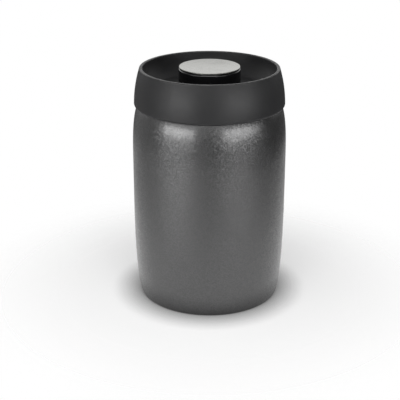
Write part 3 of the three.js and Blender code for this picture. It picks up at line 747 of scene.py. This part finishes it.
def liner():
    """Lid liner: flange, groove, plate, stepped well and valve seat, turned, then drilled."""
    flange = NECK_BORE + 2 * LIP
    bush = STEM + FIT + BUSH_WALL + FIT
    seat = SEAT_INNER + SEAT_WIDTH
    bottom = GROOVE_BOTTOM - RETAINER
    outline = rounded([
        [bush, CUP_BOTTOM, 0.1], [SEAT_INNER, CUP_BOTTOM, 0.25], [SEAT_INNER, CUP_BOTTOM - SEAT_HEIGHT, 0.3],
        [seat, CUP_BOTTOM - SEAT_HEIGHT, 0.3], [seat, CUP_BOTTOM, 0.25], [CUP_OUTER, CUP_BOTTOM, 0.4],
        [CUP_OUTER, SNAP_CENTRE - 2 * SNAP, 0.3], [CUP_OUTER - SNAP, SNAP_CENTRE, 0.3],
        [CUP_OUTER, SNAP_CENTRE + 2 * SNAP, 0.3], [CUP_OUTER, STEP_BOTTOM, 0.5],
        [WELL_OUTER, STEP_BOTTOM, 0.8], [WELL_OUTER, PLATE_BOTTOM, 0.5], [LINER_INNER, PLATE_BOTTOM, 0.5],
        [LINER_INNER, bottom, 0.3], [NECK_BORE - RETAINER_GAP, bottom, 0.5],
        [NECK_BORE - RETAINER_GAP, GROOVE_BOTTOM, 0.2], [PLUG, GROOVE_BOTTOM, 0.2], [PLUG, FLANGE_BOTTOM, 0.2],
        [flange, FLANGE_BOTTOM, 0.3], [flange, FLANGE_TOP, 0.3], [LINER_INNER, FLANGE_TOP, 0.3],
        [LINER_INNER, PLATE_TOP, 0.6], [WELL, PLATE_TOP, 0.4], [WELL, STEP_TOP, 0.6],
        [CUP_RADIUS, STEP_TOP, 0.4], [CUP_RADIUS, CUP_FLOOR, 0.6], [bush, CUP_FLOOR, 0.1],
    ], closed=True)
    mesh = turned("liner", outline, closed=True)
    umbrella = places_on_circle(1, BOSS_PITCH, 45)[0]
    vent, vent_pitch, hole = 0.8, 3.3, 1.6
    through = PLATE_BOTTOM - PAST, PLATE_TOP + PAST
    screws = [rod(p, SCREW_BORE, *through) for p in places_on_circle(4, BOSS_PITCH)]
    ports = [rod(p, PORT_RADIUS, CUP_BOTTOM - PAST, CUP_FLOOR + PAST) for p in places_on_circle(6, PORT_PITCH)]
    vents = [rod(p, vent, *through, 24) for p in places_on_circle(5, vent_pitch, 0, umbrella)]
    stem = [rod(umbrella, hole, *through)]
    mesh = combined(mesh, screws + ports + vents + stem, "DIFFERENCE")
    piece(mesh, "lid", "liner_plastic", "lid_liner")


def gasket():
    """Silicone sleeve in the liner's groove, turned, with two thin lips that lean up against the neck."""
    sleeve, lips, root_low, tip_low, tip_high = 1.1, (3.4, 1.3), 0.8, 0.5, 0.9
    inner, tip = PLUG + FIT, NECK_BORE - FIT
    outer = inner + sleeve
    top, bottom = FLANGE_BOTTOM - FIT, GROOVE_BOTTOM + FIT
    rows = [[inner, bottom, 0.25], [outer, bottom, 0.3]]
    for drop in lips:
        root = top - drop
        rows += [[outer, root - root_low, 0.2], [tip, root + tip_low, 0.12], [tip, root + tip_high, 0.12]]
        rows += [[outer, root, 0.25]]
    rows += [[outer, top, 0.3], [inner, top, 0.25]]
    mesh = turned("gasket", rounded(rows, closed=True), closed=True)
    piece(mesh, "lid", "silicone", "lid_gasket")


def screw(name, node_name, body, seat, length, up, place=(0, 0)):
    """Self-tapping screw: a pan head with a six-lobed socket and a raised thread.

    The socket's wall is a circle whose radius swells six times round. The thread is a ridge whose height
    over the core is a narrow peak of the distance along the screw less one pitch for each turn round.
    """
    angle = np.linspace(0, 2 * math.pi, 48, endpoint=False)
    even = np.ones(len(angle))
    socket, swell, socket_depth, mouth = 1.05, 0.15, 0.9, 1.5
    core, pitch, tip, corner = 1.02, 0.9, 1.3, 0.5
    lobed = socket + swell * np.cos(6 * angle)
    top, edge = -SCREW_HEAD_HEIGHT, SCREW_HEAD - corner
    rings = [
        (0.0 * lobed, top + socket_depth),
        (0.9 * lobed, top + socket_depth),
        (lobed, top + 0.8),
        (lobed, top + 0.1),
        (1.06 * lobed, top + 0.02),
        (even * mouth, top),
        (even * (edge - 0.3), top),
    ]
    rings += [(even * r, h) for r, h in circle_arc((edge, top + corner), corner, -90, 0, 5)]
    under = (SCREW_HEAD, -0.12), (SCREW_HEAD - 0.1, 0.0), (SCREW + 0.2, 0.0), (core + 0.1, 0.08)
    rings += [(even * r, h) for r, h in under]
    along = np.linspace(0.35, length - 0.05, int(length / pitch * 12))
    phase = (along[:, None] / pitch - angle[None] / (2 * math.pi)) % 1.0
    ridge = np.clip(1 - np.abs(phase - 0.5) / 0.28, 0, 1) ** 0.8
    fade = np.clip((length - along) / tip, 0, 1)[:, None]
    shaft = (core * (0.35 + 0.65 * fade**0.6)) + (SCREW - core) * ridge * np.clip(fade * 1.3, 0, 1)
    radius = np.vstack([np.array([r for r, _ in rings]), shaft, np.zeros((1, len(angle)))])
    height = np.concatenate([[h for _, h in rings], along, [length]])
    sign = 1 if up else -1
    grid = np.stack([
        place[0] + radius * np.cos(angle),
        place[1] + sign * radius * np.sin(angle),
        np.broadcast_to(seat + sign * height[:, None], radius.shape),
    ], axis=-1)
    mesh = mesh_of(name, grid)
    mesh.set_sharp_from_angle(angle=math.radians(45))
    piece(mesh, body, "screw_steel", node_name)


def bush():
    """Guide bush, turned: a sleeve through the cup's floor with a flange on it."""
    bore = STEM + FIT
    outer = bore + BUSH_WALL
    flange_top, top = CUP_FLOOR + BUSH_FLANGE_THICK, CUP_BOTTOM + BUSH_HEIGHT
    rows = [
        [bore, CUP_BOTTOM, 0.2], [outer, CUP_BOTTOM, 0.2], [outer, CUP_FLOOR, 0.1], [BUSH_FLANGE, CUP_FLOOR, 0.2],
        [BUSH_FLANGE, flange_top, 0.25], [outer, flange_top, 0.3], [outer, top, 0.3], [bore, top, 0.3],
    ]
    mesh = turned("guide_bush", rounded(rows, closed=True), closed=True, sides=SMALL_SIDES)
    piece(mesh, "lid", "acetal", "stem_bush")


def spring():
    """Coil spring: a helix of round wire whose end turns close up and lie flat.

    Height along the wire follows the turns with a slope that is small in the first and last turn.
    """
    bottom, top = CUP_FLOOR + WIRE + FIT, FLANGE_DOWN - WIRE - FIT
    closed, ease, least = 0.7, 0.6, 0.07
    turn = np.linspace(0, TURNS, int(TURNS * 40) + 1)
    slope = np.clip(np.minimum(turn - closed, TURNS - closed - turn), 0.0, ease) / ease
    slope = least + slope**2 * (3 - 2 * slope)
    climb = np.concatenate([[0], np.cumsum((slope[1:] + slope[:-1]) / 2)])
    height = bottom + (top - bottom) * climb / climb[-1]
    path = np.column_stack([SPRING * np.cos(2 * math.pi * turn), SPRING * np.sin(2 * math.pi * turn), height])
    thing = piece(tube("closing_spring", path, WIRE, 14), "lid", "spring_steel", "valve_spring")
    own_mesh(thing)


def umbrella_valve():
    """Umbrella of silicone over the vents: thin dome, stem and barb, turned about its own axis."""
    seat, barb_top = PLATE_TOP + FIT, PLATE_BOTTOM - FIT
    radius, stem, barb, barb_length, crown, rim = 5.2, 1.3, 2.1, 2.4, 1.0, 0.6
    angle = np.linspace(0, math.pi / 2, 15)[1:]
    dome = np.column_stack([radius * np.sin(angle), seat + rim + crown * np.cos(angle)])[::-1]
    low = barb_top - barb_length
    rows = np.vstack([
        [
            [0, low, 0], [0.8, low, 0.3], [barb, barb_top - 0.85, 0.3], [barb, barb_top, 0.25], [stem, barb_top, 0.15],
            [stem, seat + 0.5, 0.3], [4.6, seat + 0.25, 0.2], [4.9, seat, 0.1], [radius, seat, 0.1],
        ],
        plain(dome),
        [[0, seat + 1.6, 0]],
    ])
    place = places_on_circle(1, BOSS_PITCH, 45)[0]
    mesh = turned("umbrella_valve", rounded(rows), sides=SMALL_SIDES, place=place)
    piece(mesh, "lid", "silicone", "degassing_valve")


def ring_holes(pitch, reach):
    """Places in rings round a middle one: 1, 6, 12, 18 and so on."""
    rings = [places_on_circle(6 * (i + 1), pitch * (i + 1)) for i in range(int(reach / pitch))]
    return np.vstack([[[0, 0]], *rings])


def cap():
    """Filter cap: a deep cup, turned, with a snap bead inside and a pierced floor."""
    hole, pitch = 1.3, 5.2
    rows = [
        [0, CAP_BOTTOM, 0], [CAP_OUTER, CAP_BOTTOM, 0.8], [CAP_OUTER, CAP_TOP, 0.3], [CAP_INNER, CAP_TOP, 0.4],
        [CAP_INNER, SNAP_CENTRE + SNAP, 0.2], [CAP_INNER - SNAP, SNAP_CENTRE, 0.25],
        [CAP_INNER, SNAP_CENTRE - SNAP, 0.2], [CAP_INNER, CAP_FLOOR, 0.3], [0, CAP_FLOOR, 0],
    ]
    mesh = turned("filter_cup", rounded(rows), sides=CAP_SIDES)
    places = ring_holes(pitch, CAP_INNER - 2 * hole)
    holes = [rod(p, hole, CAP_BOTTOM - PAST, CAP_FLOOR + PAST, 28) for p in places]
    piece(combined(mesh, holes, "DIFFERENCE"), "lid", "liner_plastic", "filter_cap")


def screen():
    """Woven wire screen with a pressed rim.

    Each wire waves up and down as a sine with one crossing per pitch, its neighbours half a wave apart,
    and the crossing wires wave the other way. A wire's length is the chord of the screen at its place.
    """
    radius, pitch, wire, lift, rim_width, hold = CAP_INNER - FIT, 1.15, 0.105, 0.09, 0.9, 0.35
    middle = (CAP_FLOOR + SCREEN_TOP) / 2
    inner = radius - rim_width
    count = int(inner / pitch)
    lines = np.arange(-count, count + 1)
    meshes = []
    for way in (0, 1):
        for line in lines:
            place = line * pitch
            half = math.sqrt(inner**2 - place**2) + hold
            s = np.linspace(-half, half, max(int(2 * half / pitch * 6), 4))
            wave = lift * np.cos(math.pi * (s / pitch + line + way))
            flat = [s, np.full_like(s, place)] if way == 0 else [np.full_like(s, place), s]
            meshes.append(tube("wire", np.column_stack([*flat, middle + wave]), wire, 6))
    rim = rounded([
        [inner, CAP_FLOOR, 0.08], [radius, CAP_FLOOR, 0.12], [radius, SCREEN_TOP, 0.12], [inner, SCREEN_TOP, 0.08],
    ], closed=True)
    meshes.append(turned("rim", rim, closed=True, sides=RING_SIDES))
    piece(joined("woven_screen", meshes), "lid", "bare_steel", "filter_screen")


# Valve: knob, disc, stem, washer and valve disc


def knob():
    """Knob, turned: skirt, rounded shoulder, recess for the disc, screw's web and the boss that holds the stem."""
    recess = KNOB_RADIUS - DISC_RECESS
    edge = (KNOB_RADIUS - KNOB_EDGE, KNOB_SHOULDER - KNOB_EDGE)
    rows = np.vstack([
        [
            [SCREW_BORE, WEB_BOTTOM, 0.1], [STEM + FIT, WEB_BOTTOM, 0.2], [STEM + FIT, FLANGE_UP, 0.2],
            [KNOB_BOSS, FLANGE_UP, 0.3], [KNOB_BOSS, KNOB_UNDER, 0.6], [KNOB_RADIUS - KNOB_WALL, KNOB_UNDER, 0.8],
            [KNOB_RADIUS - KNOB_WALL, KNOB_BOTTOM, 0.3], [KNOB_RADIUS, KNOB_BOTTOM, 0.5],
        ],
        plain(circle_arc(edge, KNOB_EDGE, 0, 90, 12)),
        [
            [recess, KNOB_SHOULDER, 0.2], [recess, DISC_SEAT, 0.1], [SCREW_HEAD_BORE, DISC_SEAT, 0.2],
            [SCREW_HEAD_BORE, WEB_TOP, 0.2], [SCREW_BORE, WEB_TOP, 0.1],
        ],
    ])
    mesh = turned("press_knob", rounded(rows, closed=True), closed=True)
    piece(mesh, "valve", "knob_plastic", "knob_shell")


def disc():
    """Knob disc: a spigot below, a wider top with a rounded edge, hollowed as a shallow bowl."""
    radius, spigot = KNOB_RADIUS - DISC_INSET, KNOB_RADIUS - DISC_RECESS - FIT
    flat = radius - DISC_EDGE
    r = np.linspace(flat, 0, 24)[1:]
    bowl = np.column_stack([r, KNOB_TOP - DISC_HOLLOW * (1 - (r / flat) ** 2)])
    rows = np.vstack([
        [[0, DISC_SEAT, 0], [spigot, DISC_SEAT, 0.1], [spigot, DISC_UNDER, 0.1], [radius, DISC_UNDER, 0.1]],
        plain(circle_arc((flat, KNOB_TOP - DISC_EDGE), DISC_EDGE, 0, 90, 10)),
        plain(bowl),
    ])
    piece(turned("knob_top_disc", rounded(rows)), "valve", "disc_metal", "knob_disc")


def stem():
    """Stem, turned: a rod with the flange that the spring pushes on and a screw's bore in each end."""
    bore, low, high = SCREW_BORE, VALVE_TOP + STEM_BORE, STEM_TOP - STEM_BORE
    rows = [
        [0, low, 0], [bore, low, 0.2], [bore, VALVE_TOP, 0.2], [STEM, VALVE_TOP, 0.3], [STEM, FLANGE_DOWN, 0.4],
        [STEM_FLANGE, FLANGE_DOWN, 0.3], [STEM_FLANGE, FLANGE_UP, 0.3], [STEM, FLANGE_UP, 0.2],
        [STEM, STEM_TOP, 0.3], [bore, STEM_TOP, 0.2], [bore, high, 0.2], [0, high, 0],
    ]
    mesh = turned("valve_rod", rounded(rows), sides=SMALL_SIDES)
    piece(mesh, "valve", "acetal", "valve_stem")


def washer():
    """Flat sealing washer, turned."""
    bore = STEM + FIT
    rows = [
        [bore, VALVE_TOP, 0.2], [WASHER_RADIUS, VALVE_TOP, 0.4],
        [WASHER_RADIUS, WASHER_TOP, 0.4], [bore, WASHER_TOP, 0.2],
    ]
    mesh = turned("sealing_washer", rounded(rows, closed=True), closed=True, sides=RING_SIDES)
    piece(mesh, "valve", "silicone", "valve_washer")


def poppet():
    """Valve disc, turned, with a recess for its screw's head."""
    seat = VALVE_BOTTOM + SCREW_HEAD_HEIGHT
    rows = [
        [SCREW_BORE, seat, 0.1], [SCREW_HEAD_BORE, seat, 0.2], [SCREW_HEAD_BORE, VALVE_BOTTOM, 0.3],
        [VALVE_RADIUS, VALVE_BOTTOM, 0.8], [VALVE_RADIUS, VALVE_TOP, 0.3], [SCREW_BORE, VALVE_TOP, 0.1],
    ]
    mesh = turned("poppet_disc", rounded(rows, closed=True), closed=True, sides=RING_SIDES)
    piece(mesh, "valve", "liner_plastic", "valve_disc")


canister_body()
lid_top()
liner()
gasket()
bush()
spring()
umbrella_valve()
cap()
screen()
cover_screw_length = DISH_FLOOR - BORE_COVER - SCREW_SPARE - PLATE_BOTTOM
for number, place in enumerate(places_on_circle(4, BOSS_PITCH), 1):
    screw(f"cover_screw_{number}", f"lid_screw_{number}", "lid", PLATE_BOTTOM, cover_screw_length, True, place)
knob()
disc()
stem()
washer()
poppet()
hold = STEM_BORE - SCREW_SPARE
valve_seat = VALVE_BOTTOM + SCREW_HEAD_HEIGHT
screw("top_screw", "knob_screw", "valve", WEB_TOP, WEB_TOP - STEM_TOP + hold, False)
screw("poppet_screw", "valve_screw", "valve", valve_seat, VALVE_TOP + hold - valve_seat, True)


# Studio, in metres, degrees and watts

WHITE = (1, 1, 1, 1)
FLOOR_RADIUS, FLOOR_DROP = 650.0, 0.02  # in millimetres
MIDDLE = np.array([0.0, 0.0, 0.09])
TABLE_OUT, TABLE_UP, TABLE_SIZE, TABLE_GRID = 0.42, 0.4, 0.2, 56  # of the table lights
SOFTBOXES = {  # azimuth, elevation, distance, width, height, power
    "left_box": (-47, 6.3, 1.1, 0.95, 0.26, 4.2),
    "right_box": (40, 6.3, 1.1, 0.88, 0.26, 3.5),
    "right_end": (70, 5, 1.1, 0.3, 0.2, 0.5),
    "top_box": (-2, 50, 1.2, 0.95, 0.7, 4.4),
    "ceiling": (0, 84, 1.2, 0.8, 0.8, 1.2),
}
CAMERA_PLACE = (-0.0067143, -0.7056339, 0.3460164)
CAMERA_TILT, CAMERA_ROLL = 68.5674, 0.0244
LENS, SENSOR = 92.6514, 36.0  # in millimetres


def emptied(owner):
    """Node tree of a material or world, with nothing in it."""
    owner.use_nodes = True
    owner.node_tree.nodes.clear()
    return owner.node_tree


def floor():
    """White floor with a painted contact shadow close to the foot, that glows a little where the camera or a
    reflection meets it, more in reflections near the axis.

    It is open under the base, and gone for all rays between 0.34 and 0.5 m from the axis, sooner on the right.
    For the camera it is gone between 0.07 and 0.2 m, and from below.
    """
    material = bpy.data.materials.new("studio_floor")
    t = emptied(material)
    place = node(t, "ShaderNodeTexCoord").outputs["Object"]
    away = length_of(t, place)
    path = node(t, "ShaderNodeLightPath").outputs
    camera_ray = path["Is Camera Ray"]
    behind = node(t, "ShaderNodeNewGeometry").outputs["Backfacing"]
    # Painted contact shadow: occlusion by the canister darkens the floor's colour and glow near the foot
    nearby = node(t, "ShaderNodeAmbientOcclusion", {"Distance": 0.022}, samples=16).outputs["AO"]
    shade = maths(t, "POWER", nearby, 1.5)
    paint = node(t, "ShaderNodeBsdfDiffuse", {"Color": tint(t, shade, (0.1, 0.1, 0.1), (0.88, 0.88, 0.88))})
    # Painted light seen in reflections: for glossy rays the floor glows, brighter near the axis
    mirrored = times(t, path["Is Glossy Ray"], spread(t, away, 0.3, 0.1, 0.05, 0.32))
    seen = plus(t, times(t, camera_ray, 0.44), mirrored)
    glow = node(t, "ShaderNodeEmission", {"Color": WHITE, "Strength": times(t, seen, shade)})
    both = node(t, "ShaderNodeAddShader", {0: paint.outputs[0], 1: glow.outputs[0]})
    clear = node(t, "ShaderNodeBsdfTransparent")
    right = maths(t, "SUBTRACT", node(t, "ShaderNodeSeparateXYZ", {0: place}).outputs[0], 0.2)
    beside = times(t, largest(t, right, 0.0), 0.5)
    past_edge = spread(t, plus(t, away, beside), 0.34, 0.5)
    under_base = spread(t, away, 0.047, 0.046)
    unseen = times(t, camera_ray, largest(t, spread(t, away, 0.07, 0.2), behind))
    gone = largest(t, past_edge, under_base, unseen)
    mix = node(t, "ShaderNodeMixShader", {0: gone, 1: both.outputs[0], 2: clear.outputs[0]})
    node(t, "ShaderNodeOutputMaterial", {"Surface": mix.outputs[0]})
    mesh = turned("studio_floor", np.array([[FLOOR_RADIUS, -FLOOR_DROP], [0, -FLOOR_DROP]]), sides=RING_SIDES)
    mesh.materials.append(material)
    placed("studio_floor", mesh)


def world():
    """White for the camera. All else meets a dim studio, a little paler to the left, in front and below.

    Reflections and what shines through also meet a pale wall behind, which dims upwards.
    """
    made = bpy.data.worlds.new("studio")
    bpy.context.scene.world = made
    t = emptied(made)
    path = node(t, "ShaderNodeLightPath").outputs
    toward = node(t, "ShaderNodeTexCoord").outputs["Generated"]
    x, y, z = node(t, "ShaderNodeSeparateXYZ", {0: toward}).outputs
    left = spread(t, x, -0.3, -0.8, 0.08, 0.28)
    front = times(t, spread(t, y, -0.6, -0.9, 0.0, 0.3), spread(t, z, -0.05, 0.1))
    below = spread(t, z, -0.55, -0.8, 0.0, 0.5)
    seen = largest(t, path["Is Glossy Ray"], path["Is Transmission Ray"])
    wall = times(t, spread(t, y, 0.2, 0.7), spread(t, z, 0.0, 0.15), seen)
    back = times(t, wall, spread(t, z, 0.2, 0.52, 1.12, 0.5))
    light = node(t, "ShaderNodeBackground", {"Color": WHITE, "Strength": plus(t, left, front, below, back)})
    white = node(t, "ShaderNodeBackground", {"Color": WHITE, "Strength": 1.0})
    mix = node(t, "ShaderNodeMixShader", {0: path["Is Camera Ray"], 1: light.outputs[0], 2: white.outputs[0]})
    node(t, "ShaderNodeOutputWorld", {"Surface": mix.outputs[0]})


def direction(azimuth, elevation):
    """Unit direction from the canister. Azimuth 0 is where the camera stands, positive to the right."""
    a, e = math.radians(azimuth), math.radians(elevation)
    return np.array([math.sin(a) * math.cos(e), -math.cos(a) * math.cos(e), math.sin(e)])


def lamp(name, place, target, width, height, power, grid=180):
    """Rectangular lamp at a place, facing a target. A small angle of its grid narrows its light."""
    light = bpy.data.lights.new(name, "AREA")
    light.shape, light.size, light.size_y, light.energy = "RECTANGLE", width, height, power
    light.spread = math.radians(grid)
    thing = placed(name, light)
    thing.location = place
    thing.rotation_euler = Vector(place - target).to_track_quat("Z", "Y").to_euler()
    thing.visible_camera = False


def table_light(name, azimuth, power):
    """Gridded lamp straight above the floor, so that the side of the canister reflects a bright table."""
    above = TABLE_OUT * direction(azimuth, 0)
    lamp(name, above + [0, 0, TABLE_UP], above, TABLE_SIZE, TABLE_SIZE, power, TABLE_GRID)


floor()
world()
for name, (azimuth, elevation, distance, width, height, power) in SOFTBOXES.items():
    lamp(name, MIDDLE + distance * direction(azimuth, elevation), MIDDLE, width, height, power)
table_light("left_table", -46, 0.30)
table_light("right_table", 42, 0.2)

camera = bpy.data.cameras.new("camera")
camera.lens, camera.sensor_width = LENS, SENSOR
view = placed("camera", camera)
view.location = CAMERA_PLACE
tilt = Matrix.Rotation(math.radians(CAMERA_TILT), 3, "X")
view.rotation_euler = (tilt @ Matrix.Rotation(math.radians(CAMERA_ROLL), 3, "Z")).to_euler()
bpy.context.scene.camera = view
bpy.context.scene.view_settings.view_transform = "Standard"
